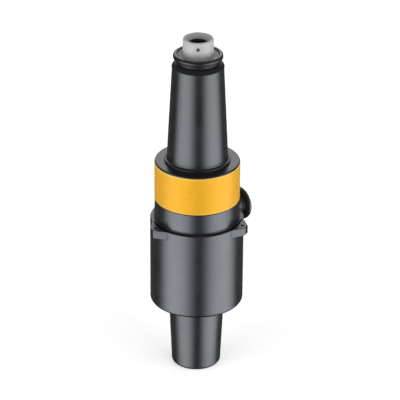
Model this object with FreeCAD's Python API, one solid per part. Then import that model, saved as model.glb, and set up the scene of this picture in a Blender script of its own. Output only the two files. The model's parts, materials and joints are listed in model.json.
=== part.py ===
import FreeCAD, Part
import math
import os

from FreeCAD import Vector

# Loadbreak bushing with an extended shielded body.
# Millimetres, +Z up along the bushing's axis, from the well plug up to the nose.
# The origin is the centre of the plug's tip face, where the well stud enters.
# -Y faces the viewer, and the test point stands out at the back right.

# Driving dimensions

# Well plug, the tapered foot that fills a bushing well
plug_length = 63.7
plug_tip_d = 43.2
plug_root_d = 48.9
plug_tip_round = 2.5

# Can, the wide shielded part above the plug
can_d = 81.8
can_height = 80.3
can_foot_round = 2.5
can_rim_round = 0.9

# Neck and collar above the can's shelf
neck_foot_d = 74.8
collar_d = 73.8
collar_height = 54.5
collar_round = 1.3
neck_foot_round = 0.6
jacket_wall = 4.0
core_round = 3.0

# Latch indicator ring, let into the collar
ring_height = 34.2
ring_below_top = 1.5
ring_thickness = 1.6
ring_proud = 0.25
ring_edge_round = 0.4

# Three eyed lugs at the shelf's edge
lug_count = 3
first_lug_azimuth = -25.0
lug_root_width = 25.0
lug_end_width = 5.0
lug_reach = 6.7
lug_thickness = 8.0
lug_end_chamfer = 1.0
lug_hole_d = 2.8
lug_hole_to_end = 4.2

# Insulating cone, the interface that the elbow slides over
base_ring_d = 57.2
base_ring_height = 2.2
base_ring_round = 0.8
cone_foot_d = 53.2
cone_top_d = 44.5
cone_height = 87.4
cone_foot_round = 2.4

# Shoulder, locking groove and lip at the top of the cone
shoulder_step = 0.3
shoulder_height = 4.3
shoulder_land = 0.8
shoulder_land_round = 1.5
shoulder_top_d = 40.4
shoulder_top_round = 1.9
groove_d = 37.0
groove_height = 3.2
lip_d = 42.8
lip_height = 4.7
lip_lower_round = 2.6
lip_upper_round = 2.0

# Nosepiece, screwed into the top of the contact tube
probe_bore_d = 15.0
nose_d = 26.4
nose_above_lip = 13.9
nose_rim_round = 1.4
funnel_mouth_d = 23.4
funnel_depth = 4.4
flange_d = 36.0
flange_thickness = 2.4
flange_below_lip = 0.8
flange_edge_round = 0.5
flange_gap = 0.3
nose_root_round = 1.0
stem_length = 18.5
spanner_hole_d = 3.4
spanner_hole_depth = 3.2
spanner_hole_below_rim = 5.9
gas_trap_height = 4.0
gas_trap_wall = 2.0
gas_trap_grip = 0.3

# Ring seals in square grooves
seal_width = 2.2
seal_depth = 1.7
seal_bevel = 0.5
nose_seal_below_flange = 4.0

# Contact tube and the rod below it
tube_bore_d = 27.0
tube_wall = 2.0
tube_foot_rise = 20.3
rod_d = 16.0
rod_shoulder_height = 6.0
rod_shoulder_round = 1.5
rod_spigot_height = 14.0
rod_seal_rise = 7.0
rod_foot_d = 24.0
rod_foot_height = 9.0
rod_foot_round = 0.8
stud_hole_d = 7.94
stud_hole_depth = 20.0
drill_point_angle = 118.0
hex_across_flats = 7.94
hex_depth = 9.0

# Conductive screen over the joint of rod and tube
screen_wall = 2.0
screen_height = 112.0
screen_foot_round = 3.5
screen_top_round = 0.9

# Piston that carries the contact and the snuffer
piston_rest_gap = 0.3
piston_clearance = 0.2
piston_skirt_height = 18.0
piston_spigot_height = 12.0
piston_edge_round = 0.8
piston_bore_d = 10.0
piston_travel = 22.0
travel_stop_gap = 0.4
sliding_clearance = 0.1
louvre_rise = 2.6
louvre_height = 7.0
louvre_depth = 1.3
louvre_count = 24
louvre_slot_width = 0.9
louvre_slot_height = 4.6
louvre_tilt = 20.0
piston_seal_rise = 13.0

# Slotted contact
contact_tail_d = 14.4
contact_tail_length = 11.0
contact_flange_d = 20.4
contact_flange_height = 3.0
contact_length = 62.0
contact_barrel_d = 17.4
contact_bore_d = 12.0
contact_grip_d = 11.1
contact_mouth_d = 14.8
contact_mouth_depth = 1.6
contact_grip_length = 3.0
contact_grip_slope = 2.0
finger_count = 8
finger_slot_width = 1.2
finger_slot_length = 44.0
finger_tip_round = 0.8
finger_spring_height = 1.8
finger_spring_thickness = 1.2
finger_spring_groove = 0.9
finger_spring_gap = 4.0
finger_spring_drops = (6.0, 12.0)

# Snuffer
snuffer_clearance = 0.6
snuffer_wall = 1.9
liner_bore_d = 15.4
liner_mouth_chamfer = 1.2
liner_above_contact = 2.0
snuffer_pin_d = 3.0
snuffer_pin_count = 3
snuffer_pin_rise = 6.0
snuffer_pin_length = 4.2
snuffer_pin_sunk = 0.2

# Capacitive test point
test_point_azimuth = 41.0
test_point_below_shelf = 3.0
boss_d = 17.5
boss_proud = 2.6
test_cavity_d = 12.4
test_cavity_behind_collar = 2.9
electrode_d = 6.0
electrode_root = 2.0
electrode_sunk = 1.2
electrode_head_d = 8.0
electrode_head_height = 1.2
cap_d = 30.4
cap_thickness = 3.0
cap_edge_round = 1.3
cap_hub_length = 4.7
cap_plug_length = 3.4

# Radii and heights that follow from them

plug_tip_r = plug_tip_d / 2
plug_root_r = plug_root_d / 2
can_r = can_d / 2
neck_foot_r = neck_foot_d / 2
collar_r = collar_d / 2
ring_outer_r = collar_r + ring_proud
ring_seat_r = ring_outer_r - ring_thickness
core_can_r = can_r - jacket_wall
core_collar_r = collar_r - jacket_wall
base_ring_r = base_ring_d / 2
cone_foot_r = cone_foot_d / 2
cone_top_r = cone_top_d / 2
shoulder_r = cone_top_r + shoulder_step
shoulder_top_r = shoulder_top_d / 2
groove_r = groove_d / 2
lip_r = lip_d / 2
flange_r = flange_d / 2
lip_bore_r = flange_r + flange_gap
nose_r = nose_d / 2
probe_bore_r = probe_bore_d / 2

can_foot_z = plug_length
shelf_z = can_foot_z + can_height
collar_top_z = shelf_z + collar_height
ring_top_z = collar_top_z - ring_below_top
ring_foot_z = ring_top_z - ring_height
base_ring_top_z = collar_top_z + base_ring_height
shoulder_z = collar_top_z + cone_height
shoulder_slope_z = shoulder_z + shoulder_land
groove_foot_z = shoulder_z + shoulder_height
groove_top_z = groove_foot_z + groove_height
lip_top_z = groove_top_z + lip_height
flange_top_z = lip_top_z - flange_below_lip
flange_foot_z = flange_top_z - flange_thickness
stem_foot_z = flange_foot_z - stem_length
nose_top_z = lip_top_z + nose_above_lip

tube_bore_r = tube_bore_d / 2
tube_outer_r = tube_bore_r + tube_wall
tube_foot_z = can_foot_z + tube_foot_rise
tube_top_z = flange_foot_z
rod_r = rod_d / 2
rod_foot_r = rod_foot_d / 2
rod_shoulder_z = tube_foot_z - rod_shoulder_height
rod_top_z = tube_foot_z + rod_spigot_height
rod_seal_z = tube_foot_z + rod_seal_rise
stud_hole_r = stud_hole_d / 2
screen_r = tube_outer_r + screen_wall
screen_foot_z = rod_shoulder_z - screen_wall
screen_top_z = tube_foot_z + screen_height
seal_floor_r = tube_bore_r - seal_depth
nose_seal_z = flange_foot_z - nose_seal_below_flange - seal_width

piston_r = tube_bore_r - piston_clearance
piston_foot_z = rod_top_z + piston_rest_gap
piston_skirt_z = piston_foot_z + piston_skirt_height
piston_top_z = piston_skirt_z + piston_spigot_height
carriage_top_z = stem_foot_z - piston_travel - travel_stop_gap
sliding_r = tube_bore_r - sliding_clearance
louvre_floor_r = piston_r - louvre_depth
louvre_foot_z = piston_foot_z + louvre_rise
piston_seal_z = piston_foot_z + piston_seal_rise
contact_tail_r = contact_tail_d / 2
contact_tail_z = piston_top_z - contact_tail_length
contact_top_z = piston_top_z + contact_length
contact_barrel_r = contact_barrel_d / 2
contact_bore_r = contact_bore_d / 2
snuffer_outer_r = tube_bore_r - snuffer_clearance
snuffer_inner_r = snuffer_outer_r - snuffer_wall
snuffer_pin_z = piston_skirt_z + snuffer_pin_rise

test_point_z = shelf_z - test_point_below_shelf
boss_end_x = can_r + boss_proud
test_cavity_r = test_cavity_d / 2
test_cavity_x = core_collar_r - test_cavity_behind_collar
cap_plug_x = boss_end_x - cap_plug_length
cap_disc_x = boss_end_x + cap_hub_length

# Long enough to cut right through whatever it meets
past_everything = 2 * can_d

axis_up = Vector(0, 0, 1)
axis_point = Vector(0, 0, 0)
sharp_edge_room = 0.96
round_edge_room = 0.48


# Shape helpers

def edges_through(points):
    # Closed chain of lines through (radius, height) corners; a third number rounds a corner.
    # A rounding takes no more of an edge than the edge has.
    corners = [Vector(point[0], 0, point[1]) for point in points]
    roundings = [point[2] if len(point) > 2 else 0.0 for point in points]
    turns = []
    for index, corner in enumerate(corners):
        before = corners[index - 1] - corner
        after = corners[(index + 1) % len(corners)] - corner
        if not roundings[index]:
            turns.append((corner, None, corner))
            continue
        half_angle = before.getAngle(after) / 2
        room_before = round_edge_room if roundings[index - 1] else sharp_edge_room
        room_after = round_edge_room if roundings[(index + 1) % len(corners)] else sharp_edge_room
        setback = min(
            roundings[index] / math.tan(half_angle),
            before.Length * room_before,
            after.Length * room_after,
        )
        radius = setback * math.tan(half_angle)
        before.normalize()
        after.normalize()
        inward = before + after
        inward.normalize()
        middle = corner + inward * (radius / math.sin(half_angle) - radius)
        turns.append((corner + before * setback, middle, corner + after * setback))
    edges = []
    for index, (start, middle, end) in enumerate(turns):
        last_end = turns[index - 1][2]
        edges.append(Part.makeLine(last_end, start))
        if middle:
            edges.append(Part.Arc(start, middle, end).toShape())
    return edges


def turned(points):
    face = Part.Face(Part.Wire(edges_through(points)))
    return face.revolve(axis_point, axis_up, 360)


def ring_of(inner_r, outer_r, foot_z, height, rounding=0.0):
    top_z = foot_z + height
    return turned([
        (inner_r, foot_z, rounding),
        (outer_r, foot_z, rounding),
        (outer_r, top_z, rounding),
        (inner_r, top_z, rounding),
    ])


def prism_up(corners, foot_z, height):
    # Plan outline of (x, y) corners, raised by height
    points = [Vector(x, y, foot_z) for x, y in corners]
    outline = Part.makePolygon(points + points[:1])
    return Part.Face(outline).extrude(Vector(0, 0, height))


def prism_across(corners, width):
    # Side outline of (x, z) corners, as wide to each side of y = 0
    points = [Vector(x, -width / 2, z) for x, z in corners]
    outline = Part.makePolygon(points + points[:1])
    return Part.Face(outline).extrude(Vector(0, width, 0))


def about_axis(shape, azimuth):
    return shape.rotated(axis_point, axis_up, azimuth)


def around(shape, count, first_azimuth=0.0):
    step = 360.0 / count
    return [about_axis(shape, first_azimuth + step * index) for index in range(count)]


def rod_outwards(diameter, start_x, end_x, height_z, azimuth):
    rod = Part.makeCylinder(diameter / 2, end_x - start_x, Vector(start_x, 0, height_z), Vector(1, 0, 0))
    return about_axis(rod, azimuth)


def turned_outwards(points, azimuth):
    # Profile of (radius, distance from the bushing's axis), turned about the test point's own axis
    upright = turned(points)
    lying = upright.rotated(axis_point, Vector(0, 1, 0), 90)
    return about_axis(lying.translated(Vector(0, 0, test_point_z)), azimuth)


# Moulded rubber

def insulation_outside():
    # Everything inside the outer skin of the insulating moulding, from the plug's tip to the lip
    return turned([
        (0, 0),
        (plug_tip_r, 0, plug_tip_round),
        (plug_root_r, can_foot_z),
        (plug_root_r, can_foot_z + jacket_wall),
        (core_can_r, can_foot_z + jacket_wall, core_round),
        (core_can_r, shelf_z - jacket_wall, core_round),
        (core_collar_r, shelf_z - jacket_wall),
        (core_collar_r, collar_top_z - jacket_wall),
        (base_ring_r, collar_top_z - jacket_wall),
        (base_ring_r, base_ring_top_z, base_ring_round),
        (cone_foot_r, base_ring_top_z, cone_foot_round),
        (cone_top_r, shoulder_z),
        (shoulder_r, shoulder_z),
        (shoulder_r, shoulder_slope_z, shoulder_land_round),
        (shoulder_top_r, groove_foot_z, shoulder_top_round),
        (groove_r, groove_foot_z),
        (groove_r, groove_top_z),
        (lip_r, groove_top_z, lip_lower_round),
        (lip_r, lip_top_z, lip_upper_round),
        (lip_bore_r, lip_top_z),
        (lip_bore_r, flange_foot_z),
        (0, flange_foot_z),
    ])


def insulation_bore():
    # What the rod, the screen and the tube take up inside the insulation
    return turned([
        (0, 0),
        (rod_foot_r, 0),
        (rod_foot_r, rod_foot_height, rod_foot_round),
        (rod_r, rod_foot_height),
        (rod_r, screen_foot_z),
        (screen_r, screen_foot_z, screen_foot_round),
        (screen_r, screen_top_z, screen_top_round),
        (tube_outer_r, screen_top_z),
        (tube_outer_r, flange_foot_z),
        (0, flange_foot_z),
    ])


def make_insulating_body():
    cavity = rod_outwards(test_cavity_d, test_cavity_x, can_r, test_point_z, test_point_azimuth)
    return insulation_outside().cut(insulation_bore()).cut(cavity).cut(make_test_point_electrode())


def make_lug():
    # Plan: wide at the can, narrow at a flat end. Side: flat top, chamfered lower end
    root_x = can_r * math.cos(math.asin(lug_root_width / can_d))
    end_x = can_r + lug_reach
    foot_z = shelf_z - lug_thickness
    plan = prism_up([
        (0, -lug_root_width / 2),
        (root_x, -lug_root_width / 2),
        (end_x, -lug_end_width / 2),
        (end_x, lug_end_width / 2),
        (root_x, lug_root_width / 2),
        (0, lug_root_width / 2),
    ], foot_z, lug_thickness)
    side = prism_across([
        (0, foot_z),
        (end_x - lug_end_chamfer, foot_z),
        (end_x, foot_z + lug_end_chamfer),
        (end_x, shelf_z),
        (0, shelf_z),
    ], lug_root_width)
    eye = Part.makeCylinder(lug_hole_d / 2, lug_thickness, Vector(end_x - lug_hole_to_end, 0, foot_z), axis_up)
    return plan.common(side).cut(eye)


def make_conductive_jacket():
    # Shell over the insulation, open at the plug and at the cone
    outside = turned([
        (0, can_foot_z),
        (can_r, can_foot_z, can_foot_round),
        (can_r, shelf_z, can_rim_round),
        (neck_foot_r, shelf_z, neck_foot_round),
        (collar_r, ring_foot_z),
        (ring_seat_r, ring_foot_z),
        (ring_seat_r, ring_top_z),
        (collar_r, ring_top_z),
        (collar_r, collar_top_z, collar_round),
        (0, collar_top_z),
    ])
    lugs = around(make_lug(), lug_count, first_lug_azimuth)
    boss = rod_outwards(boss_d, test_cavity_x, boss_end_x, test_point_z, test_point_azimuth)
    cavity = rod_outwards(test_cavity_d, test_cavity_x, past_everything, test_point_z, test_point_azimuth)
    return outside.fuse(lugs + [boss]).removeSplitter().cut(insulation_outside()).cut(cavity)


def make_inner_screen():
    # Cup round the rod's shoulder with a long sleeve up the tube
    return turned([
        (rod_r, screen_foot_z),
        (screen_r, screen_foot_z, screen_foot_round),
        (screen_r, screen_top_z, screen_top_round),
        (tube_outer_r, screen_top_z),
        (tube_outer_r, rod_shoulder_z, rod_shoulder_round),
        (rod_r, rod_shoulder_z),
    ])


# Collar ring and nosepiece

def make_latch_indicator_ring():
    return ring_of(ring_seat_r, ring_outer_r, ring_foot_z, ring_height, ring_edge_round)


def make_nosepiece():
    body = turned([
        (probe_bore_r + gas_trap_wall, stem_foot_z),
        (tube_bore_r, stem_foot_z),
        (tube_bore_r, nose_seal_z),
        (seal_floor_r, nose_seal_z),
        (seal_floor_r, nose_seal_z + seal_width),
        (tube_bore_r, nose_seal_z + seal_width),
        (tube_bore_r, flange_foot_z),
        (flange_r, flange_foot_z, flange_edge_round),
        (flange_r, flange_top_z, flange_edge_round),
        (nose_r, flange_top_z, nose_root_round),
        (nose_r, nose_top_z, nose_rim_round),
        (funnel_mouth_d / 2, nose_top_z),
        (probe_bore_r, nose_top_z - funnel_depth),
        (probe_bore_r, stem_foot_z + gas_trap_height),
        (probe_bore_r + gas_trap_wall, stem_foot_z + gas_trap_height),
    ])
    hole_z = nose_top_z - spanner_hole_below_rim
    hole = rod_outwards(spanner_hole_d, nose_r - spanner_hole_depth, flange_r, hole_z, -90)
    return body.cut(hole)


def make_gas_trap_ring():
    inner_r = probe_bore_r - gas_trap_grip
    return ring_of(inner_r, probe_bore_r + gas_trap_wall, stem_foot_z, gas_trap_height)


def make_seal(outer_r, foot_z):
    # Ring seal pressed into its groove, with bevelled corners
    top_z = foot_z + seal_width
    return turned([
        (seal_floor_r, foot_z + seal_bevel),
        (seal_floor_r + seal_bevel, foot_z),
        (outer_r - seal_bevel, foot_z),
        (outer_r, foot_z + seal_bevel),
        (outer_r, top_z - seal_bevel),
        (outer_r - seal_bevel, top_z),
        (seal_floor_r + seal_bevel, top_z),
        (seal_floor_r, top_z - seal_bevel),
    ])


# Fixed current path

def make_contact_tube():
    return ring_of(tube_bore_r, tube_outer_r, tube_foot_z, tube_top_z - tube_foot_z)


def make_conductor_rod():
    drill_point = stud_hole_r / math.tan(math.radians(drill_point_angle / 2))
    rod = turned([
        (stud_hole_r, 0),
        (rod_foot_r, 0),
        (rod_foot_r, rod_foot_height, rod_foot_round),
        (rod_r, rod_foot_height),
        (rod_r, rod_shoulder_z),
        (tube_outer_r, rod_shoulder_z, rod_shoulder_round),
        (tube_outer_r, tube_foot_z),
        (tube_bore_r, tube_foot_z),
        (tube_bore_r, rod_seal_z),
        (seal_floor_r, rod_seal_z),
        (seal_floor_r, rod_seal_z + seal_width),
        (tube_bore_r, rod_seal_z + seal_width),
        (tube_bore_r, rod_top_z),
        (0, rod_top_z),
        (0, stud_hole_depth + drill_point),
        (stud_hole_r, stud_hole_depth),
    ])
    hex_r = hex_across_flats / math.sqrt(3)
    corners = [
        (hex_r * math.cos(math.radians(60 * index)), hex_r * math.sin(math.radians(60 * index)))
        for index in range(6)
    ]
    return rod.cut(prism_up(corners, rod_top_z - hex_depth, hex_depth))


# Sliding contact assembly

def make_piston():
    piston = turned([
        (piston_bore_d / 2, piston_foot_z),
        (piston_r, piston_foot_z, piston_edge_round),
        (piston_r, louvre_foot_z),
        (louvre_floor_r, louvre_foot_z),
        (louvre_floor_r, louvre_foot_z + louvre_height),
        (piston_r, louvre_foot_z + louvre_height),
        (piston_r, piston_seal_z),
        (seal_floor_r, piston_seal_z),
        (seal_floor_r, piston_seal_z + seal_width),
        (piston_r, piston_seal_z + seal_width),
        (piston_r, piston_skirt_z),
        (snuffer_inner_r, piston_skirt_z),
        (snuffer_inner_r, piston_top_z),
        (contact_tail_r, piston_top_z),
        (contact_tail_r, contact_tail_z),
        (piston_bore_d / 2, contact_tail_z),
    ])
    return piston.cut(snuffer_pin_group())


def make_louvre_band():
    # Strip in the piston's lower groove, with tilted slots between its contact blades
    band = ring_of(louvre_floor_r, sliding_r, louvre_foot_z, louvre_height)
    slot = Part.makeBox(
        tube_bore_d,
        louvre_slot_width,
        louvre_slot_height,
        Vector(0, -louvre_slot_width / 2, -louvre_slot_height / 2),
    )
    tilted = slot.rotated(axis_point, Vector(1, 0, 0), louvre_tilt)
    raised = tilted.translated(Vector(0, 0, louvre_foot_z + louvre_height / 2))
    return band.cut(around(raised, louvre_count))


def finger_spring_feet():
    return [contact_top_z - drop for drop in finger_spring_drops]


def make_female_contact():
    # Tulip contact: a turned sleeve, gripping just inside its mouth, slotted into fingers
    grip_z = contact_top_z - contact_mouth_depth
    sleeve = turned([
        (piston_bore_d / 2, contact_tail_z),
        (contact_tail_r, contact_tail_z),
        (contact_tail_r, piston_top_z),
        (contact_flange_d / 2, piston_top_z),
        (contact_flange_d / 2, piston_top_z + contact_flange_height),
        (contact_barrel_r, piston_top_z + contact_flange_height),
        (contact_barrel_r, contact_top_z, finger_tip_round),
        (contact_mouth_d / 2, contact_top_z),
        (contact_grip_d / 2, grip_z),
        (contact_grip_d / 2, grip_z - contact_grip_length),
        (contact_bore_r, grip_z - contact_grip_length - contact_grip_slope),
        (contact_bore_r, piston_top_z),
        (piston_bore_d / 2, piston_top_z),
    ])
    groove_floor_r = contact_barrel_r - finger_spring_groove
    grooves = [
        ring_of(groove_floor_r, contact_flange_d / 2, foot_z, finger_spring_height)
        for foot_z in finger_spring_feet()
    ]
    slot = Part.makeBox(
        contact_flange_d,
        finger_slot_width,
        finger_slot_length,
        Vector(0, -finger_slot_width / 2, contact_top_z - finger_slot_length),
    )
    return sleeve.cut(grooves).cut(around(slot, finger_count))


def make_finger_spring_rings():
    # Split rings, open to opposite sides
    inner_r = contact_barrel_r - finger_spring_groove
    rings = []
    for index, foot_z in enumerate(finger_spring_feet()):
        ring = ring_of(inner_r, inner_r + finger_spring_thickness, foot_z, finger_spring_height)
        gap = Part.makeBox(
            contact_flange_d,
            finger_spring_gap,
            finger_spring_height,
            Vector(0, -finger_spring_gap / 2, foot_z),
        )
        rings.append(ring.cut(about_axis(gap, 180.0 * index)))
    return Part.makeCompound(rings)


def make_snuffer_tube():
    tube = ring_of(snuffer_inner_r, snuffer_outer_r, piston_skirt_z, carriage_top_z - piston_skirt_z)
    return tube.cut(snuffer_pin_holes())


def make_snuffer_liner():
    foot_z = contact_top_z + liner_above_contact
    bore_r = liner_bore_d / 2
    return turned([
        (bore_r + liner_mouth_chamfer, foot_z),
        (snuffer_inner_r, foot_z),
        (snuffer_inner_r, carriage_top_z),
        (bore_r + liner_mouth_chamfer, carriage_top_z),
        (bore_r, carriage_top_z - liner_mouth_chamfer),
        (bore_r, foot_z + liner_mouth_chamfer),
    ])


def snuffer_pin_group():
    end_x = snuffer_outer_r - snuffer_pin_sunk
    pin = rod_outwards(snuffer_pin_d, end_x - snuffer_pin_length, end_x, snuffer_pin_z, 0)
    return around(pin, snuffer_pin_count)


def snuffer_pin_holes():
    hole = rod_outwards(snuffer_pin_d, contact_tail_r, tube_bore_r, snuffer_pin_z, 0)
    return around(hole, snuffer_pin_count)


def make_snuffer_pins():
    return Part.makeCompound(snuffer_pin_group())


# Test point

def make_test_point_electrode():
    # Pin with a button head moulded into the insulation
    head_x = test_cavity_x - electrode_root
    return turned_outwards([
        (0, head_x),
        (electrode_head_d / 2, head_x),
        (electrode_head_d / 2, head_x + electrode_head_height),
        (electrode_d / 2, head_x + electrode_head_height),
        (electrode_d / 2, boss_end_x - electrode_sunk),
        (0, boss_end_x - electrode_sunk),
    ], test_point_azimuth)


def make_test_point_sleeve():
    return turned_outwards([
        (electrode_d / 2, test_cavity_x),
        (test_cavity_r, test_cavity_x),
        (test_cavity_r, cap_plug_x),
        (electrode_d / 2, cap_plug_x),
    ], test_point_azimuth)


def make_test_point_cap():
    # Plug into the boss, hub against its end, and a broad round disc
    electrode_end_x = boss_end_x - electrode_sunk
    return turned_outwards([
        (0, electrode_end_x),
        (electrode_d / 2, electrode_end_x),
        (electrode_d / 2, cap_plug_x),
        (test_cavity_r, cap_plug_x),
        (test_cavity_r, boss_end_x),
        (boss_d / 2, boss_end_x),
        (boss_d / 2, cap_disc_x),
        (cap_d / 2, cap_disc_x, cap_edge_round),
        (cap_d / 2, cap_disc_x + cap_thickness, cap_edge_round),
        (0, cap_disc_x + cap_thickness),
    ], test_point_azimuth)


# One file for each piece

pieces = {
    "insulating_body": make_insulating_body(),
    "conductive_jacket": make_conductive_jacket(),
    "latch_indicator_ring": make_latch_indicator_ring(),
    "nosepiece": make_nosepiece(),
    "nosepiece_seal_ring": make_seal(tube_bore_r, nose_seal_z),
    "gas_trap_ring": make_gas_trap_ring(),
    "contact_tube": make_contact_tube(),
    "tube_seal_ring": make_seal(tube_bore_r, rod_seal_z),
    "conductor_rod": make_conductor_rod(),
    "inner_screen": make_inner_screen(),
    "piston": make_piston(),
    "louvre_band": make_louvre_band(),
    "piston_seal_ring": make_seal(sliding_r, piston_seal_z),
    "female_contact": make_female_contact(),
    "finger_spring_rings": make_finger_spring_rings(),
    "snuffer_tube": make_snuffer_tube(),
    "snuffer_liner": make_snuffer_liner(),
    "snuffer_pins": make_snuffer_pins(),
    "test_point_electrode": make_test_point_electrode(),
    "test_point_sleeve": make_test_point_sleeve(),
    "test_point_cap": make_test_point_cap(),
}

os.makedirs("parts", exist_ok=True)
for name, shape in pieces.items():
    shape.exportStep(f"parts/{name}.step")
    print(f"{name}: {len(shape.Solids)} solid, {shape.Volume / 1000:.1f} cm3, valid {shape.isValid()}")
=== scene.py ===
import json
import math

import bmesh
import bpy
import numpy as np
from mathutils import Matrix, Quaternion, Vector

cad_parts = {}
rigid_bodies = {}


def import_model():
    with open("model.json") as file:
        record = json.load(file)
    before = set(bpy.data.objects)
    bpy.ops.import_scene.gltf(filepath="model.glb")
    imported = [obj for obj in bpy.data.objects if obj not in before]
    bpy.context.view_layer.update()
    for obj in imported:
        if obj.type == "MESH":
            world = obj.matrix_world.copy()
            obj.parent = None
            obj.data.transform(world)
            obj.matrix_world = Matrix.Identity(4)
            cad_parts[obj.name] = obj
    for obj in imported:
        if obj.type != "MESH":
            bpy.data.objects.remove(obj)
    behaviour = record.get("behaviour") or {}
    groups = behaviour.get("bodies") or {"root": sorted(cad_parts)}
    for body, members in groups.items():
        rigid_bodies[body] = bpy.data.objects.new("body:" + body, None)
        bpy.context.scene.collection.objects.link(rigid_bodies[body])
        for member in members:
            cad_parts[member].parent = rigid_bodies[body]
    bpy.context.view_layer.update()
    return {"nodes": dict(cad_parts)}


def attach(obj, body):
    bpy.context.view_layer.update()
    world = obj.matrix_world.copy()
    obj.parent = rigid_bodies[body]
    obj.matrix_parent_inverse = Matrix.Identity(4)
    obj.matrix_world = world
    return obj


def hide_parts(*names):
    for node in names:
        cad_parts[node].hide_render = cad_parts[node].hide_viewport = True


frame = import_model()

mm = 0.001
fullTurn = 2 * math.pi


# Surfaces as arrays of points, in millimetres

def roundedOutline(corners, closed=True, arcStep=9.0, hold=0.35, edgeShare=0.96):
    # Corners are (radius, height, rounding). The centre of a rounding lies on its corner's bisector, at
    # the rounding over sin(half the corner's angle), and its spokes are slerped from one touching point
    # to the other: (a sin((1 - s) w) + b sin(s w)) / sin(w). A straight run gets a point near each end,
    # so that smooth shading stays flat along it.
    points = [np.array(corner[:2], float) for corner in corners]
    roundings = [corner[2] if len(corner) > 2 else 0.0 for corner in corners]
    count = len(points)
    arcs = []
    for index, (here, rounding) in enumerate(zip(points, roundings)):
        if not rounding:
            arcs.append([here])
            continue
        following = (index + 1) % count
        before, after = points[index - 1] - here, points[following] - here
        lengthBefore, lengthAfter = np.hypot(*before), np.hypot(*after)
        before, after = before / lengthBefore, after / lengthAfter
        halfAngle = math.acos(np.clip(before @ after, -1, 1)) / 2
        # Two roundings at the ends of one edge share it in proportion
        roomBefore = lengthBefore * edgeShare * rounding / (rounding + roundings[index - 1])
        roomAfter = lengthAfter * edgeShare * rounding / (rounding + roundings[following])
        setback = min(rounding / math.tan(halfAngle), roomBefore, roomAfter)
        radius = setback * math.tan(halfAngle)
        centre = here + (before + after) / np.hypot(*(before + after)) * radius / math.sin(halfAngle)
        first, last = here + before * setback - centre, here + after * setback - centre
        sweep = math.pi - 2 * halfAngle
        steps = max(3, math.ceil(math.degrees(sweep) / arcStep))
        shares = np.arange(steps + 1) / steps
        spokes = np.outer(np.sin((1 - shares) * sweep), first) + np.outer(np.sin(shares * sweep), last)
        arcs.append(list(centre + spokes / math.sin(sweep)))
    outline = []
    for index, arc in enumerate(arcs):
        outline.extend(arc)
        if index == count - 1 and not closed:
            break
        start, end = arc[-1], arcs[(index + 1) % count][0]
        length = np.hypot(*(end - start))
        if length > 4 * hold:
            along = (end - start) / length
            outline.extend([start + along * hold, end - along * hold])
    return np.array(outline)


def turnedGrid(outline, segments=192):
    # Each outline point (r, z) becomes a row of points (r cos a, r sin a, z) round +Z
    angles = np.arange(segments) / segments * fullTurn
    radii = outline[:, 0:1] * np.ones(segments)
    heights = outline[:, 1:2] * np.ones(segments)
    return np.stack([radii * np.cos(angles), radii * np.sin(angles), heights], axis=2)


def gridSurface(grid, rowsClosed=True):
    # Each row closes on itself. The last row closes on the first, or both end rows close on their middles.
    rows, columns = grid.shape[:2]
    verts = grid.reshape(-1, 3)
    ring = np.arange(columns)
    nextRing = (ring + 1) % columns
    rowStarts = np.arange(rows if rowsClosed else rows - 1) * columns
    nextStarts = (rowStarts + columns) % (rows * columns)
    quads = np.stack([
        rowStarts[:, None] + ring,
        rowStarts[:, None] + nextRing,
        nextStarts[:, None] + nextRing,
        nextStarts[:, None] + ring,
    ], axis=2).reshape(-1, 4)
    if rowsClosed:
        return verts, quads, np.zeros((0, 3), int)
    lastRow = (rows - 1) * columns
    middles = np.array([grid[0].mean(0), grid[-1].mean(0)])
    foot, top = len(verts), len(verts) + 1
    footFan = np.stack([np.full(columns, foot), nextRing, ring], axis=1)
    topFan = np.stack([np.full(columns, top), lastRow + ring, lastRow + nextRing], axis=1)
    return np.vstack([verts, middles]), quads, np.vstack([footFan, topFan])


def facingOut(surface):
    # Six times the signed volume, the sum of a . (b x c), is negative when the faces point inwards
    verts, quads, tris = surface
    halves = np.vstack([quads[:, [0, 1, 2]], quads[:, [0, 2, 3]], tris])
    a, b, c = verts[halves[:, 0]], verts[halves[:, 1]], verts[halves[:, 2]]
    volume = np.einsum("ij,ij->i", a, np.cross(b, c)).sum()
    if volume > 0:
        return surface
    return verts, quads[:, ::-1], tris[:, ::-1]


def turnedAbout(points, azimuth):
    # Points turned round +Z by degrees: (x cos a - y sin a, x sin a + y cos a, z)
    angle = math.radians(azimuth)
    x, y, z = points[..., 0], points[..., 1], points[..., 2]
    return np.stack([
        x * math.cos(angle) - y * math.sin(angle),
        x * math.sin(angle) + y * math.cos(angle),
        z,
    ], axis=-1)


# Pieces from surfaces and from the frame's nodes

def makePiece(name, surfaces, sharpAngle=32.0):
    verts, faces, start = [], [], 0
    for surface in surfaces:
        points, quads, tris = facingOut(surface)
        verts.append(points * mm)
        faces.extend((quads + start).tolist())
        faces.extend((tris + start).tolist())
        start += len(points)
    mesh = bpy.data.meshes.new(name)
    mesh.from_pydata(np.vstack(verts), [], faces)
    mesh.update()
    mesh.shade_smooth()
    mesh.set_sharp_from_angle(angle=math.radians(sharpAngle))
    piece = bpy.data.objects.new(name, mesh)
    bpy.context.scene.collection.objects.link(piece)
    return piece


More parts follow.
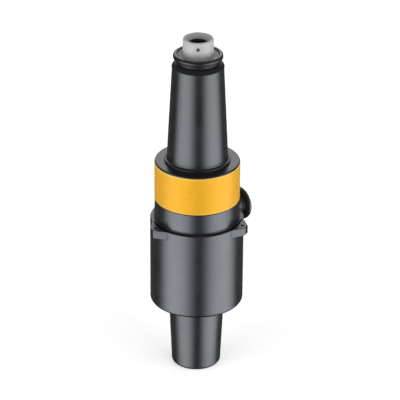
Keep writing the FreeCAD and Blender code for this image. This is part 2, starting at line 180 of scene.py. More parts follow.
def smoothCopy(node, sharpAngle=28.0, mergeWithin=1e-6):
    # The node's own mesh with its face borders merged and its curves shaded smooth
    mesh = frame["nodes"][node].data.copy()
    mesh.name = node + "Look"
    work = bmesh.new()
    work.from_mesh(mesh)
    bmesh.ops.remove_doubles(work, verts=work.verts, dist=mergeWithin)
    bmesh.ops.recalc_face_normals(work, faces=work.faces)
    work.to_mesh(mesh)
    work.free()
    if mesh.attributes.get("custom_normal"):
        mesh.attributes.remove(mesh.attributes["custom_normal"])
    mesh.shade_smooth()
    mesh.set_sharp_from_angle(angle=math.radians(sharpAngle))
    piece = bpy.data.objects.new(node + "Look", mesh)
    bpy.context.scene.collection.objects.link(piece)
    return piece


def place(piece, node, material, body="housing"):
    # The piece stands for its CAD node, in the same material
    for mesh in (piece.data, frame["nodes"][node].data):
        mesh.materials.clear()
        mesh.materials.append(material)
    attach(piece, body)
    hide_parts(node)


def dressBetween(piece, material, footZ, topZ, insideRadius):
    # Faces between two heights and outside a radius take a second material
    mesh = piece.data
    mesh.materials.append(material)
    centres = np.zeros(len(mesh.polygons) * 3)
    mesh.polygons.foreach_get("center", centres)
    centres = centres.reshape(-1, 3) / mm
    spread = np.hypot(centres[:, 0], centres[:, 1])
    chosen = (centres[:, 2] > footZ) & (centres[:, 2] < topZ) & (spread > insideRadius)
    mesh.polygons.foreach_set("material_index", chosen.astype(np.int32))
    mesh.update()


# Node helpers

def newMaterial(name):
    material = bpy.data.materials.new(name)
    material.use_nodes = True
    return material, material.node_tree, material.node_tree.nodes["Principled BSDF"]


def addNode(tree, kind, settings=None, inputs=None):
    # An input is a socket to link from, or a plain value
    node = tree.nodes.new(kind)
    for key, value in (settings or {}).items():
        setattr(node, key, value)
    for key, value in (inputs or {}).items():
        if isinstance(value, bpy.types.NodeSocket):
            tree.links.new(value, node.inputs[key])
        else:
            node.inputs[key].default_value = value
    return node


def maths(tree, operation, *values):
    inputs = dict(enumerate(values))
    return addNode(tree, "ShaderNodeMath", {"operation": operation}, inputs).outputs["Value"]


def noise(tree, coords, scale, detail=3.0, roughness=0.5):
    return addNode(tree, "ShaderNodeTexNoise", None, {
        "Vector": coords, "Scale": scale, "Detail": detail, "Roughness": roughness,
    }).outputs["Fac"]


def stretched(tree, coords, scale):
    return addNode(tree, "ShaderNodeMapping", None, {"Vector": coords, "Scale": scale}).outputs["Vector"]


def splitAxes(tree, vector):
    return addNode(tree, "ShaderNodeSeparateXYZ", None, {"Vector": vector}).outputs


def fromAxis(tree, coords):
    # The length of the position once its height is dropped
    flat = addNode(tree, "ShaderNodeVectorMath", {"operation": "MULTIPLY"}, {0: coords, 1: (1.0, 1.0, 0.0)})
    spread = addNode(tree, "ShaderNodeVectorMath", {"operation": "LENGTH"}, {0: flat.outputs["Vector"]})
    return spread.outputs["Value"]


def remap(tree, value, low, high, outLow, outHigh, interpolation="LINEAR"):
    return addNode(tree, "ShaderNodeMapRange", {"interpolation_type": interpolation}, {
        "Value": value, "From Min": low, "From Max": high, "To Min": outLow, "To Max": outHigh,
    }).outputs["Result"]


def blendColours(tree, factor, first, second):
    node = addNode(tree, "ShaderNodeMix", {"data_type": "RGBA"}, {"Factor": factor})
    # The colour sockets of a Mix node are its inputs 6 and 7 and its output 2
    for socket, value in zip([node.inputs[6], node.inputs[7]], [first, second]):
        if isinstance(value, bpy.types.NodeSocket):
            tree.links.new(value, socket)
        else:
            socket.default_value = (*value, 1.0)
    return node.outputs[2]


def bump(tree, height, distance, strength=1.0, below=None):
    inputs = {"Height": height, "Distance": distance, "Strength": strength}
    if below is not None:
        inputs["Normal"] = below
    return addNode(tree, "ShaderNodeBump", None, inputs).outputs["Normal"]


# Wear that every finish shares: scale, detail and roughness of each noise over the position in metres

wear = {
    "mottle": (45.0, 4.0, 0.6), "grain": (1900.0, 2.0, 0.5), "specks": (620.0, 1.0, 0.4),
    "speckRange": (0.72, 0.78), "toneRange": (0.35, 0.68), "metalRange": (0.35, 0.7), "shineRange": (0.3, 0.7),
}


def surfaceGroup():
    # Object position in; broad mottle, fine grain and sparse specks out, all 0 to 1
    group = bpy.data.node_groups.new("surfaceWear", "ShaderNodeTree")
    group.interface.new_socket("Vector", in_out="INPUT", socket_type="NodeSocketVector")
    for output in ("Mottle", "Grain", "Specks"):
        group.interface.new_socket(output, in_out="OUTPUT", socket_type="NodeSocketFloat")
    coords = addNode(group, "NodeGroupInput").outputs["Vector"]
    end = addNode(group, "NodeGroupOutput")
    group.links.new(noise(group, coords, *wear["mottle"]), end.inputs["Mottle"])
    group.links.new(noise(group, coords, *wear["grain"]), end.inputs["Grain"])
    sparse = noise(group, coords, *wear["specks"])
    group.links.new(remap(group, sparse, *wear["speckRange"], 0.0, 1.0), end.inputs["Specks"])
    return group


wearGroup = surfaceGroup()


def wearOutputs(tree):
    coords = addNode(tree, "ShaderNodeTexCoord").outputs["Object"]
    worn = addNode(tree, "ShaderNodeGroup", {"node_tree": wearGroup}, {"Vector": coords}).outputs
    return coords, worn["Mottle"], worn["Grain"], worn["Specks"]


# Rubber

rubberWear = {
    "dusting": 0.5, "smoother": 0.03, "rougher": 0.04,
    "flow": (60.0, 2.0, 0.5), "flowStretch": (1.0, 1.0, 0.25), "flowDepth": 0.00002,
}


def rubberMaterial(name, look):
    material, tree, shader = newMaterial(name)
    coords, mottle, grain, specks = wearOutputs(tree)
    tone = blendColours(tree, remap(tree, mottle, *wear["toneRange"], 0.0, 1.0), look["dark"], look["pale"])
    dusted = blendColours(tree, remap(tree, specks, 0.0, 1.0, 0.0, rubberWear["dusting"]), tone, look["speck"])
    tree.links.new(dusted, shader.inputs["Base Color"])
    smooth, rough = look["shine"] - rubberWear["smoother"], look["shine"] + rubberWear["rougher"]
    tree.links.new(remap(tree, mottle, *wear["shineRange"], smooth, rough), shader.inputs["Roughness"])
    shader.inputs["Specular IOR Level"].default_value = look["specular"]
    # Long shallow flow lines of the mould under the fine grain
    flow = noise(tree, stretched(tree, coords, rubberWear["flowStretch"]), *rubberWear["flow"])
    soft = bump(tree, flow, rubberWear["flowDepth"])
    tree.links.new(bump(tree, grain, look["grainDepth"], below=soft), shader.inputs["Normal"])
    return material


insulatingRubber = rubberMaterial("insulatingRubber", {
    "dark": (0.0097, 0.0098, 0.0112), "pale": (0.0113, 0.0115, 0.0131), "speck": (0.019, 0.019, 0.021),
    "shine": 0.28, "grainDepth": 0.0000012, "specular": 0.95,
})
grooveRubber = rubberMaterial("grooveRubber", {
    "dark": (0.0097, 0.0098, 0.0112), "pale": (0.0113, 0.0115, 0.0131), "speck": (0.019, 0.019, 0.021),
    "shine": 0.4, "grainDepth": 0.0000022, "specular": 0.33,
})
screenRubber = rubberMaterial("screenRubber", {
    "dark": (0.0091, 0.0094, 0.011), "pale": (0.0107, 0.011, 0.0128), "speck": (0.02, 0.02, 0.0225),
    "shine": 0.28, "grainDepth": 0.000002, "specular": 0.95,
})
capRubber = rubberMaterial("capRubber", {
    "dark": (0.027, 0.028, 0.03), "pale": (0.038, 0.039, 0.042), "speck": (0.055, 0.055, 0.058),
    "shine": 0.33, "grainDepth": 0.000008, "specular": 0.85,
})
sealRubber = rubberMaterial("sealRubber", {
    "dark": (0.012, 0.012, 0.012), "pale": (0.02, 0.02, 0.02), "speck": (0.05, 0.05, 0.05),
    "shine": 0.45, "grainDepth": 0.00001, "specular": 0.5,
})
trapRubber = rubberMaterial("trapRubber", {
    "dark": (0.035, 0.022, 0.016), "pale": (0.05, 0.032, 0.024), "speck": (0.09, 0.07, 0.06),
    "shine": 0.45, "grainDepth": 0.00001, "specular": 0.5,
})


# Plastic, with the ring's rims painted paler as a highlight and painted shade on the nose

plasticWear = {"fleck": (0.12, 0.11, 0.1), "smoother": 0.04, "rougher": 0.05}


def paintedRimHighlight(tree, coords, colour, rims):
    # Both rims are painted paler as a highlight where their edges catch light, fading over the rim's width
    height = splitAxes(tree, coords)["Z"]
    near, far = rims["highlightWidth"], rims["highlightWidth"] + rims["fade"]
    fromFoot = remap(tree, height, rims["foot"] + near, rims["foot"] + far, 1.0, 0.0)
    fromTop = remap(tree, height, rims["top"] - far, rims["top"] - near, 0.0, 1.0)
    return blendColours(tree, maths(tree, "MAXIMUM", fromFoot, fromTop), colour, rims["worn"])


def paintedNoseShade(tree, coords, colour, nose):
    # Painted shade darkens the flange, the barrel's root and the funnel down to the bore, and the bore's wall
    # is painted dark as shade
    height = splitAxes(tree, coords)["Z"]
    # Painted shadow on the flange and at the barrel's root, fading upwards
    unshaded = remap(tree, height, nose["flangeTop"], nose["flangeTop"] + nose["rootFade"], 0.0, 1.0)
    colour = blendColours(tree, unshaded, nose["paintedShade"], colour)
    spread = fromAxis(tree, coords)
    bore, funnel = nose["boreRadius"], nose["funnelRadius"]
    # Painted shade down the funnel, deepest at the bore
    inFunnel = remap(tree, spread, bore, funnel, nose["deepShade"], nose["mouthShade"])
    inMouth = remap(tree, spread, funnel, funnel + nose["mouthFade"], 1.0, 0.0)
    colour = blendColours(tree, maths(tree, "MULTIPLY", inFunnel, inMouth), colour, nose["paintedShade"])
    # The bore's wall is painted dark as shade
    inBore = remap(tree, spread, bore, bore + nose["boreFade"], 1.0, 0.0)
    return blendColours(tree, inBore, colour, nose["boreShade"])


def plasticMaterial(name, look):
    material, tree, shader = newMaterial(name)
    coords, mottle, grain, specks = wearOutputs(tree)
    tone = blendColours(tree, remap(tree, mottle, *wear["toneRange"], 0.0, 1.0), look["deep"], look["light"])
    colour = blendColours(tree, remap(tree, specks, 0.0, 1.0, 0.0, look["flecks"]), tone, plasticWear["fleck"])
    # The ring's rims get a painted highlight
    if "rims" in look:
        colour = paintedRimHighlight(tree, coords, colour, look["rims"])
    # The nose gets painted shade
    if "nose" in look:
        colour = paintedNoseShade(tree, coords, colour, look["nose"])
    tree.links.new(colour, shader.inputs["Base Color"])
    smooth, rough = look["shine"] - plasticWear["smoother"], look["shine"] + plasticWear["rougher"]
    tree.links.new(remap(tree, mottle, *wear["shineRange"], smooth, rough), shader.inputs["Roughness"])
    shader.inputs["Specular IOR Level"].default_value = look["specular"]
    shader.inputs["Specular Tint"].default_value = (*look.get("glint", (1.0, 1.0, 1.0)), 1.0)
    tree.links.new(bump(tree, grain, look["grainDepth"]), shader.inputs["Normal"])
    return material


yellowPlastic = plasticMaterial("yellowPlastic", {
    "deep": (0.8, 0.405, 0.021), "light": (0.83, 0.43, 0.025), "glint": (1.0, 0.48, 0.07),
    "shine": 0.3, "grainDepth": 0.000002, "specular": 0.85, "flecks": 0.012,
    # The rims' paler colour is a painted highlight where the edges catch light
    "rims": {"foot": 0.1628, "top": 0.197, "highlightWidth": 0.0004, "fade": 0.0005, "worn": (0.93, 0.62, 0.16)},
})
greyPlastic = plasticMaterial("greyPlastic", {
    "deep": (0.46, 0.46, 0.455), "light": (0.55, 0.55, 0.54),
    "shine": 0.42, "grainDepth": 0.000015, "specular": 0.4, "flecks": 0.6,
    "nose": {
        # Colours and reaches of the nose's painted shade
        "boreRadius": 0.0077, "boreFade": 0.0002, "boreShade": (0.018, 0.018, 0.019),
        "funnelRadius": 0.0117, "mouthFade": 0.0003, "deepShade": 0.75, "mouthShade": 0.15,
        "flangeTop": 0.2973, "rootFade": 0.006, "paintedShade": (0.21, 0.21, 0.215),
    },
})
liningPlastic = plasticMaterial("liningPlastic", {
    "deep": (0.7, 0.68, 0.62), "light": (0.78, 0.76, 0.7),
    "shine": 0.4, "grainDepth": 0.00001, "specular": 0.45, "flecks": 0.2,
})
sealPlastic = plasticMaterial("sealPlastic", {
    "deep": (0.78, 0.78, 0.75), "light": (0.85, 0.85, 0.82),
    "shine": 0.35, "grainDepth": 0.000008, "specular": 0.4, "flecks": 0.1,
})
fibreTube = plasticMaterial("fibreTube", {
    "deep": (0.3, 0.27, 0.1), "light": (0.42, 0.38, 0.16),
    "shine": 0.38, "grainDepth": 0.00004, "specular": 0.45, "flecks": 0.3,
})


# Metal

turning = {
    "marks": (5200.0, 1.0, 0.4), "stretch": (0.04, 0.04, 1.0), "depth": 0.00002, "strength": 0.35,
    "smoother": 0.06, "rougher": 0.08,
}


def threadHeight(tree, coords, thread):
    # A ridge wound round the axis: height over pitch plus the angle's share of a turn, folded to and fro
    # between 0 and 0.5, inside the hole's radius and below its end
    axes = splitAxes(tree, coords)
    angle = maths(tree, "ARCTAN2", axes["Y"], axes["X"])
    turns = maths(tree, "MULTIPLY", angle, 1 / fullTurn)
    rise = maths(tree, "MULTIPLY_ADD", axes["Z"], 1 / thread["pitch"], turns)
    ridge = maths(tree, "PINGPONG", rise, 0.5)
    radius, end, fade = thread["radius"], thread["end"], thread["fade"]
    inHole = remap(tree, fromAxis(tree, coords), radius, radius + fade, 1.0, 0.0)
    below = remap(tree, axes["Z"], end - 2 * fade, end, 1.0, 0.0)
    return maths(tree, "MULTIPLY", maths(tree, "MULTIPLY", ridge, inHole), below)


def metalMaterial(name, look):
    material, tree, shader = newMaterial(name)
    coords, mottle = wearOutputs(tree)[:2]
    tone = blendColours(tree, remap(tree, mottle, *wear["metalRange"], 0.0, 1.0), look["bright"], look["dull"])
    tree.links.new(tone, shader.inputs["Base Color"])
    shader.inputs["Metallic"].default_value = 1.0
    # Fine turning marks run round the axis, as noise squeezed along Z
    marks = noise(tree, stretched(tree, coords, turning["stretch"]), *turning["marks"])
    smooth, rough = look["shine"] - turning["smoother"], look["shine"] + turning["rougher"]
    tree.links.new(remap(tree, marks, *wear["shineRange"], smooth, rough), shader.inputs["Roughness"])
    normal = bump(tree, marks, turning["depth"], turning["strength"])
    if "thread" in look:
        thread = look["thread"]
        normal = bump(tree, threadHeight(tree, coords, thread), thread["depth"], below=normal)
    tree.links.new(normal, shader.inputs["Normal"])
    return material


copperMetal = metalMaterial("copperMetal", {
    "bright": (0.8, 0.36, 0.22), "dull": (0.6, 0.25, 0.15), "shine": 0.3,
    "thread": {"pitch": 0.0015875, "radius": 0.0041, "end": 0.02, "fade": 0.0001, "depth": 0.0018},
})
bronzeMetal = metalMaterial("bronzeMetal", {
    "bright": (0.72, 0.48, 0.24), "dull": (0.55, 0.35, 0.17), "shine": 0.34,
})
silverMetal = metalMaterial("silverMetal", {
    "bright": (0.86, 0.84, 0.78), "dull": (0.7, 0.67, 0.6), "shine": 0.26,
})
steelMetal = metalMaterial("steelMetal", {
    "bright": (0.55, 0.55, 0.56), "dull": (0.42, 0.42, 0.43), "shine": 0.32,
})
tubeMetal = metalMaterial("tubeMetal", {
    "bright": (0.78, 0.79, 0.8), "dull": (0.65, 0.66, 0.67), "shine": 0.36,
})
print("materials made")


# Insulating moulding: plug, core, cone and lip, hollow for tube, rod and inner screen

moulding = {
    # Plug
    "boreRadius": 12.0, "boreRound": 0.3, "plugTip": 21.6, "tipRound": 2.5, "plugRoot": 24.45, "canFoot": 63.7,
    # Core inside the jacket
    "coreFoot": 67.7, "coreRadius": 36.9, "coreTop": 140.0, "coreRound": 3.0, "coreNeck": 32.9,
    "collarUnder": 194.5, "baseRing": 28.6, "baseTop": 200.7, "baseRound": 0.8,
    # Cone and its shoulder
    "coneFoot": 26.6, "coneFootRound": 1.4, "coneTop": 22.25, "shoulder": 285.9, "shoulderRadius": 22.55,
    "shoulderRound": 0.12, "shoulderSlope": 286.7, "slopeRound": 1.5, "shoulderTop": 20.2, "slopeTopRound": 1.9,
    # Locking groove and lip
    "grooveFoot": 290.2, "grooveTop": 293.4, "grooveRadius": 18.5, "grooveRound": 1.4,
    "lipRadius": 21.4, "lipUnderRound": 2.6, "lipTop": 298.1, "lipRound": 2.0, "lipBore": 18.3,
    # Hollow for tube, rod and inner screen
    "flangeSeat": 294.9, "tubeRadius": 15.5, "screenRadius": 17.5, "screenTop": 196.0, "screenTopRound": 0.9,
    "screenFoot": 76.0, "screenFootRound": 3.5, "rodRadius": 8.0, "rodFoot": 9.0, "rodFootRound": 0.8,
    # Dusty band, from the slope below the groove to half-way up the lip
    "dustFoot": 287.2, "dustTop": 295.75, "dustInside": 18.4,
}
m = moulding
mouldingOutline = roundedOutline([
    (m["boreRadius"], 0, m["boreRound"]),
    (m["plugTip"], 0, m["tipRound"]),
    (m["plugRoot"], m["canFoot"]),
    (m["plugRoot"], m["coreFoot"]),
    (m["coreRadius"], m["coreFoot"], m["coreRound"]),
    (m["coreRadius"], m["coreTop"], m["coreRound"]),
    (m["coreNeck"], m["coreTop"]),
    (m["coreNeck"], m["collarUnder"]),
    (m["baseRing"], m["collarUnder"]),
    (m["baseRing"], m["baseTop"], m["baseRound"]),
    (m["coneFoot"], m["baseTop"], m["coneFootRound"]),
    (m["coneTop"], m["shoulder"], m["shoulderRound"]),
    (m["shoulderRadius"], m["shoulder"], m["shoulderRound"]),
    (m["shoulderRadius"], m["shoulderSlope"], m["slopeRound"]),
    (m["shoulderTop"], m["grooveFoot"], m["slopeTopRound"]),
    (m["grooveRadius"], m["grooveFoot"], m["grooveRound"]),
    (m["grooveRadius"], m["grooveTop"], m["grooveRound"]),
    (m["lipRadius"], m["grooveTop"], m["lipUnderRound"]),
    (m["lipRadius"], m["lipTop"], m["lipRound"]),
    (m["lipBore"], m["lipTop"]),
    (m["lipBore"], m["flangeSeat"]),
    (m["tubeRadius"], m["flangeSeat"]),
    (m["tubeRadius"], m["screenTop"]),
    (m["screenRadius"], m["screenTop"], m["screenTopRound"]),
    (m["screenRadius"], m["screenFoot"], m["screenFootRound"]),
    (m["rodRadius"], m["screenFoot"]),
    (m["rodRadius"], m["rodFoot"]),
    (m["boreRadius"], m["rodFoot"], m["rodFootRound"]),
])
insulatingBody = makePiece("insulatingBodyLook", [gridSurface(turnedGrid(mouldingOutline))])
place(insulatingBody, "insulating_body", insulatingRubber)
dressBetween(insulatingBody, grooveRubber, m["dustFoot"], m["dustTop"], m["dustInside"])
print("insulating body", len(insulatingBody.data.polygons))


# Conductive jacket with its lugs and the test point's boss

jacket = {
    "canRadius": 40.9, "canFootRound": 2.5, "shelf": 144.0, "shelfRound": 0.9,
    "neckFoot": 37.4, "neckFootRound": 0.6, "collarRadius": 36.9, "collarTop": 198.5, "collarTopRound": 1.3,
    "ringFoot": 162.8, "ringFootRound": 1.0, "ringSeat": 35.55, "ringTop": 197.0, "ringTopRound": 0.2,
    "baseSeatRound": 0.15,
}
j = jacket
jacketOutline = roundedOutline([
    (m["plugRoot"], m["canFoot"]),
    (j["canRadius"], m["canFoot"], j["canFootRound"]),
    (j["canRadius"], j["shelf"], j["shelfRound"]),
    (j["neckFoot"], j["shelf"], j["neckFootRound"]),
    (j["collarRadius"], j["ringFoot"], j["ringFootRound"]),
    (j["ringSeat"], j["ringFoot"]),
    (j["ringSeat"], j["ringTop"]),
    (j["collarRadius"], j["ringTop"], j["ringTopRound"]),
    (j["collarRadius"], j["collarTop"], j["collarTopRound"]),
    (m["baseRing"], j["collarTop"], j["baseSeatRound"]),
    (m["baseRing"], m["collarUnder"]),
    (m["coreNeck"], m["collarUnder"]),
    (m["coreNeck"], m["coreTop"]),
    (m["coreRadius"], m["coreTop"], m["coreRound"]),
    (m["coreRadius"], m["coreFoot"], m["coreRound"]),
    (m["plugRoot"], m["coreFoot"]),
])

lug = {
    "azimuths": (-25.0, 95.0, 215.0), "insideX": 37.0, "insideRound": 0.2, "rootX": 38.95, "rootHalf": 12.5,
    "rootRound": 0.6, "endX": 47.6, "endHalf": 2.5, "endRound": 1.3, "thickness": 8.0, "endChamfer": 1.0,
    "edgeRound": 0.5, "eyeX": 43.4, "eyeRadius": 1.4, "eyeChamfer": 0.3,
    "columns": 160, "edgeRows": 5, "faceShares": (0.5, 0.15, 0.04),
}


def outlineNormals(outline):
    # Outward normals (dy, -dx) of a closed plan outline that runs anticlockwise
    tangent = np.roll(outline, -1, axis=0) - np.roll(outline, 1, axis=0)
    tangent /= np.hypot(tangent[:, 0], tangent[:, 1])[:, None]
    return np.stack([tangent[:, 1], -tangent[:, 0]], axis=1)


def evenly(outline, count):
    # Points at even distances along a closed outline
    loop = np.vstack([outline, outline[:1]])
    travelled = np.concatenate([[0], np.cumsum(np.hypot(*np.diff(loop, axis=0).T))])
    stops = np.arange(count) / count * travelled[-1]
    return np.stack([np.interp(stops, travelled, loop[:, 0]), np.interp(stops, travelled, loop[:, 1])], axis=1)


def lugSurface(azimuth):
    # Every row is the plan outline drawn in at one height. From the wall the rows round the upper edge
    # (in by e (1 - cos a), up by e sin a), cross the top face towards the eye, go down the eye's wall past
    # its chamfer, come back along the foot and round the lower edge.
    plan = evenly(roundedOutline([
        (lug["insideX"], -lug["rootHalf"], lug["insideRound"]),
        (lug["rootX"], -lug["rootHalf"], lug["rootRound"]),
        (lug["endX"], -lug["endHalf"], lug["endRound"]),
        (lug["endX"], lug["endHalf"], lug["endRound"]),
        (lug["rootX"], lug["rootHalf"], lug["rootRound"]),
        (lug["insideX"], lug["rootHalf"], lug["insideRound"]),
    ]), lug["columns"])
    normals = outlineNormals(plan)
    eye = np.array([lug["eyeX"], 0.0])
    spokes = plan - eye
    spokes /= np.hypot(spokes[:, 0], spokes[:, 1])[:, None]
    topZ, footZ = j["shelf"], j["shelf"] - lug["thickness"]
    edge, eyeRadius, chamfer = lug["edgeRound"], lug["eyeRadius"], lug["eyeChamfer"]
    innerEdge, eyeRim = plan - normals * edge, eye + spokes * (eyeRadius + edge)
    turn = np.linspace(0, math.pi / 2, lug["edgeRows"])
    rows = []

    def addRow(points, height):
        # The end's lower edge is cut off at 45 degrees
        lifted = footZ + np.maximum(0, points[:, 0] - (lug["endX"] - lug["endChamfer"]))
        rows.append(np.column_stack([points, np.maximum(height, lifted)]))

    for angle in turn:
        addRow(plan - normals * edge * (1 - math.cos(angle)), topZ - edge + edge * math.sin(angle))
    for share in lug["faceShares"]:
        addRow(eyeRim + (innerEdge - eyeRim) * share, topZ)
    for angle in turn:
        radius = eyeRadius + chamfer * (1 - math.sin(angle))
        addRow(eye + spokes * radius, topZ - chamfer * (1 - math.cos(angle)))
    addRow(eye + spokes * eyeRadius, footZ + chamfer)
    addRow(eye + spokes * (eyeRadius + chamfer), footZ)
    for share in lug["faceShares"][::-1]:
        addRow(eyeRim + (innerEdge - eyeRim) * share, footZ)
    for angle in turn[::-1]:
        addRow(plan - normals * edge * (1 - math.cos(angle)), footZ + edge - edge * math.sin(angle))
    return gridSurface(turnedAbout(np.array(rows), azimuth))


testPoint = {
    "azimuth": 41.0, "height": 141.0, "bossRadius": 8.75, "bossRoot": 37.4, "bossEnd": 43.5, "bossRound": 0.4,
    "cavityRadius": 6.2, "cavityRound": 0.2, "plugStart": 40.1, "plugRound": 0.4, "recessRound": 0.2,
    "electrodeRadius": 3.0, "electrodeEnd": 42.3, "hubRound": 0.3, "hubTopRound": 0.5,
    "discStart": 48.2, "discEnd": 51.2, "discRadius": 15.2, "discRound": 1.3, "discMiddle": 0.4,
    "bossColumns": 96, "capColumns": 128,
}
t = testPoint


def lyingOut(grid):
    # A shape turned about +Z is laid along +X at the test point's height, (z, y, height - x), and swung
    # to its azimuth
    lying = np.stack([grid[..., 2], grid[..., 1], t["height"] - grid[..., 0]], axis=-1)
    return turnedAbout(lying, t["azimuth"])


bossOutline = roundedOutline([
    (t["cavityRadius"], t["bossRoot"]),
    (t["bossRadius"], t["bossRoot"]),
    (t["bossRadius"], t["bossEnd"], t["bossRound"]),
    (t["cavityRadius"], t["bossEnd"], t["cavityRound"]),
])
jacketSurfaces = [gridSurface(turnedGrid(jacketOutline))]
jacketSurfaces += [lugSurface(azimuth) for azimuth in lug["azimuths"]]
jacketSurfaces.append(gridSurface(lyingOut(turnedGrid(bossOutline, t["bossColumns"]))))
conductiveJacket = makePiece("conductiveJacketLook", jacketSurfaces)
place(conductiveJacket, "conductive_jacket", screenRubber)
print("conductive jacket", len(conductiveJacket.data.polygons))


# Test point cap: from the recess over the electrode, round the plug and the hub, to the disc's middle

capOutline = roundedOutline([
    (t["electrodeRadius"], t["electrodeEnd"]),
    (t["electrodeRadius"], t["plugStart"], t["recessRound"]),
    (t["cavityRadius"], t["plugStart"], t["plugRound"]),
    (t["cavityRadius"], t["bossEnd"]),
    (t["bossRadius"], t["bossEnd"], t["hubRound"]),
    (t["bossRadius"], t["discStart"], t["hubTopRound"]),
    (t["discRadius"], t["discStart"], t["discRound"]),
    (t["discRadius"], t["discEnd"], t["discRound"]),
    (t["discMiddle"], t["discEnd"]),
], closed=False)
capRows = lyingOut(turnedGrid(capOutline, t["capColumns"]))
testPointCap = makePiece("testPointCapLook", [gridSurface(capRows, rowsClosed=False)])
place(testPointCap, "test_point_cap", capRubber)
print("test point cap", len(testPointCap.data.polygons))


# Latch indicator ring, a sleeve in the jacket's recess

indicator = {"radius": 37.15, "edgeRound": 0.4, "columns": 224}
ringOutline = roundedOutline([
    (j["ringSeat"], j["ringFoot"], indicator["edgeRound"]),
    (indicator["radius"], j["ringFoot"], indicator["edgeRound"]),
    (indicator["radius"], j["ringTop"], indicator["edgeRound"]),
    (j["ringSeat"], j["ringTop"], indicator["edgeRound"]),
])
indicatorRing = makePiece("indicatorRingLook", [gridSurface(turnedGrid(ringOutline, indicator["columns"]))])
place(indicatorRing, "latch_indicator_ring", yellowPlastic)
print("indicator ring", len(indicatorRing.data.polygons))


# Pieces that keep their CAD shape, first the housing's and then those that slide in it

fixedLooks = {
    "nosepiece": greyPlastic,
    "nosepiece_seal_ring": sealRubber,
    "gas_trap_ring": trapRubber,
    "contact_tube": tubeMetal,
    "tube_seal_ring": sealRubber,
    "conductor_rod": copperMetal,
    "inner_screen": screenRubber,
    "test_point_electrode": bronzeMetal,
    "test_point_sleeve": sealRubber,
}
for node, material in fixedLooks.items():
    place(smoothCopy(node), node, material)
slidingLooks = {
    "piston": bronzeMetal,
    "louvre_band": silverMetal,
    "piston_seal_ring": sealPlastic,
    "female_contact": silverMetal,
    "finger_spring_rings": steelMetal,
    "snuffer_tube": fibreTube,
    "snuffer_liner": liningPlastic,
    "snuffer_pins": steelMetal,
}
for node, material in slidingLooks.items():
    place(smoothCopy(node), node, material, "contact_carriage")
print("inside pieces placed", len(fixedLooks) + len(slidingLooks))


# Floor

paleFloor = {
    "reach": 6.0, "level": -0.0002, "dark": (0.93, 0.93, 0.93), "light": (0.95, 0.95, 0.95), "toneScale": 3.0,
    "roughness": 0.8, "specular": 0.1, "liftRange": (0.3, 1.6), "lift": (0.4, 1.0),
}


def floorMaterial():
    material, tree, shader = newMaterial("paleFloor")
    coords = addNode(tree, "ShaderNodeTexCoord").outputs["Object"]
    cloud = noise(tree, coords, paleFloor["toneScale"])
    tone = blendColours(tree, cloud, paleFloor["dark"], paleFloor["light"])
    tree.links.new(tone, shader.inputs["Base Color"])
    shader.inputs["Roughness"].default_value = paleFloor["roughness"]
    shader.inputs["Specular IOR Level"].default_value = paleFloor["specular"]
    # The lens alone sees the floor lifted to white: in part near the object, to keep its shadow, and wholly
    # far off
    shader.inputs["Emission Color"].default_value = (1.0, 1.0, 1.0, 1.0)
    lens = addNode(tree, "ShaderNodeLightPath").outputs["Is Camera Ray"]
    distance = addNode(tree, "ShaderNodeVectorMath", {"operation": "LENGTH"}, {0: coords}).outputs["Value"]
    lift = remap(tree, distance, *paleFloor["liftRange"], *paleFloor["lift"])
    tree.links.new(maths(tree, "MULTIPLY", lens, lift), shader.inputs["Emission Strength"])
    return material


reach = paleFloor["reach"]
floorCorners = [(-reach, -reach, 0), (reach, -reach, 0), (reach, reach, 0), (-reach, reach, 0)]
floorMesh = bpy.data.meshes.new("floor")
floorMesh.from_pydata(floorCorners, [], [(0, 1, 2, 3)])
floorMesh.materials.append(floorMaterial())
floor = bpy.data.objects.new("floor", floorMesh)
floor.location.z = paleFloor["level"]
bpy.context.scene.collection.objects.link(floor)
# Reflections pass through the floor to the low boxes of light, which reach below it
floor.visible_glossy = False
print("floor laid")


# Lights: azimuth 0 is on the camera's side, positive to the right

lowBoxes = {
    "azimuths": {"leftLow": -51.0, "rightLow": 62.0}, "colour": (0.89, 0.93, 1.0),
    "distance": 1.1, "height": -0.45, "aimHeight": -0.45, "width": 2.6, "tall": 1.6, "power": 47.0,
    "taperFoot": 0.65, "taperRise": 0.7, "fadeFrom": 0.06, "fadeTo": 0.5, "riseFrom": 0.05, "riseTo": 0.35,
    "headFrom": 0.57, "headTo": 0.65, "headShare": 0.84,
}
softBoxes = {
    "leftBox": {
        "azimuth": -54.0, "distance": 1.1, "height": 0.6, "aimHeight": 0.3, "width": 1.3, "tall": 1.2,
        "power": 10.2, "mirrored": False,
    },
    "rightBox": {
        "azimuth": 54.0, "distance": 1.1, "height": 0.6, "aimHeight": 0.3, "width": 1.3, "tall": 1.2,
        "power": 10.2, "mirrored": False,
    },
    # Weaker ones at the sides keep the ring's edges as bright as its front
    "leftSide": {
        "azimuth": -104.0, "distance": 1.2, "height": 0.4, "aimHeight": 0.2, "width": 0.8, "tall": 1.0,
        "power": 3.6, "mirrored": False,
    },
    "rightSide": {
        "azimuth": 108.0, "distance": 1.2, "height": 0.4, "aimHeight": 0.2, "width": 0.8, "tall": 1.0,
        "power": 5.4, "mirrored": False,
    },
    "backBox": {
        "azimuth": 180.0, "distance": 1.5, "height": 1.0, "aimHeight": 0.2, "width": 1.7, "tall": 0.9,
        "power": 6.5, "mirrored": True,
    },
}


def softBox(name, azimuth, box):
    angle = math.radians(azimuth)
    data = bpy.data.lights.new(name, "AREA")
    data.shape = "RECTANGLE"
    data.size, data.size_y, data.energy = box["width"], box["tall"], box["power"]
    light = bpy.data.objects.new(name, data)
    light.location = (box["distance"] * math.sin(angle), -box["distance"] * math.cos(angle), box["height"])
    light.rotation_mode = "QUATERNION"
    light.rotation_quaternion = (Vector((0, 0, box["aimHeight"])) - light.location).to_track_quat("-Z", "Y")
    light.visible_camera = False
    bpy.context.scene.collection.objects.link(light)
    return light


blockers = bpy.data.collections.new("blockers")
for shown in bpy.context.scene.objects:
    if shown.type == "MESH" and shown != floor:
        blockers.objects.link(shown)


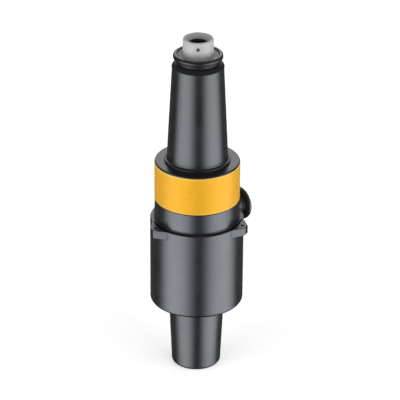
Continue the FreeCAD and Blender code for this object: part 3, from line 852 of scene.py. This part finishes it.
def mirroredBox(name, azimuth, box):
    # A low box that the walls mirror, as over a glass table: bright in the middle, fading to both sides
    # and to its foot, and stopped by the object alone
    light = softBox(name, azimuth, box)
    light.visible_diffuse = False
    light.light_linking.blocker_collection = blockers
    light.data.color = box["colour"]
    light.data.use_nodes = True
    tree = light.data.node_tree
    across = splitAxes(tree, addNode(tree, "ShaderNodeTexCoord").outputs["UV"])
    apart = maths(tree, "ABSOLUTE", maths(tree, "SUBTRACT", across["X"], 0.5))
    # Narrower towards its head, so the cone's bands are slimmer than the can's
    taper = maths(tree, "MULTIPLY_ADD", across["Y"], box["taperRise"], box["taperFoot"])
    tapered = maths(tree, "MULTIPLY", apart, taper)
    fade = remap(tree, tapered, box["fadeFrom"], box["fadeTo"], 1.0, 0.0, "SMOOTHSTEP")
    rise = remap(tree, across["Y"], box["riseFrom"], box["riseTo"], 0.0, 1.0, "SMOOTHSTEP")
    # The head lights the cone, a little less than the walls below it
    head = remap(tree, across["Y"], box["headFrom"], box["headTo"], 1.0, box["headShare"])
    strength = maths(tree, "MULTIPLY", fade, maths(tree, "MULTIPLY", rise, head))
    tree.links.new(strength, tree.nodes["Emission"].inputs["Strength"])


for name, azimuth in lowBoxes["azimuths"].items():
    mirroredBox(name, azimuth, lowBoxes)
for name, box in softBoxes.items():
    softBox(name, box["azimuth"], box).visible_glossy = box["mirrored"]
print("lights set", len(lowBoxes["azimuths"]) + len(softBoxes))


# World: the lens sees white, and reflections see a dark room that is paler above the horizon and behind
# the object

studio = {
    "seen": (1.0, 1.0, 1.0), "fill": (0.1, 0.101, 0.106), "above": (0.11, 0.112, 0.12),
    "front": (0.009, 0.009, 0.01), "behind": (0.1, 0.102, 0.108),
    "horizonFrom": -0.2, "horizonTo": 0.1, "behindFrom": 0.0, "behindTo": 0.65,
}
world = bpy.data.worlds.new("studio")
world.use_nodes = True
bpy.context.scene.world = world
worldTree = world.node_tree
rayPath = addNode(worldTree, "ShaderNodeLightPath").outputs
direction = splitAxes(worldTree, addNode(worldTree, "ShaderNodeTexCoord").outputs["Generated"])
above = remap(worldTree, direction["Z"], studio["horizonFrom"], studio["horizonTo"], 0.0, 1.0)
behind = remap(worldTree, direction["Y"], studio["behindFrom"], studio["behindTo"], 0.0, 1.0)
lowRoom = blendColours(worldTree, behind, studio["front"], studio["behind"])
room = blendColours(worldTree, above, lowRoom, studio["above"])
lit = blendColours(worldTree, rayPath["Is Glossy Ray"], studio["fill"], room)
seen = blendColours(worldTree, rayPath["Is Camera Ray"], lit, studio["seen"])
worldTree.links.new(seen, worldTree.nodes["Background"].inputs["Color"])
bpy.context.scene.view_settings.view_transform = "Standard"


# Camera

view = {
    "lens": 216.0, "sensor": 36.0, "aim": (0.00252, 0.0, 0.1591), "distance": 2.089,
    "lookDown": 26.7, "roll": 0.45, "farEnd": 50.0,
}
camera = bpy.data.objects.new("camera", bpy.data.cameras.new("camera"))
camera.data.sensor_width, camera.data.lens = view["sensor"], view["lens"]
lookDown = math.radians(view["lookDown"])
lookAlong = Vector((0.0, math.cos(lookDown), -math.sin(lookDown)))
camera.location = Vector(view["aim"]) - lookAlong * view["distance"]
camera.rotation_mode = "QUATERNION"
roll = Quaternion((0, 0, 1), math.radians(view["roll"]))
camera.rotation_quaternion = lookAlong.to_track_quat("-Z", "Y") @ roll
camera.data.clip_end = view["farEnd"]
bpy.context.scene.collection.objects.link(camera)
bpy.context.scene.camera = camera

print("scene built")
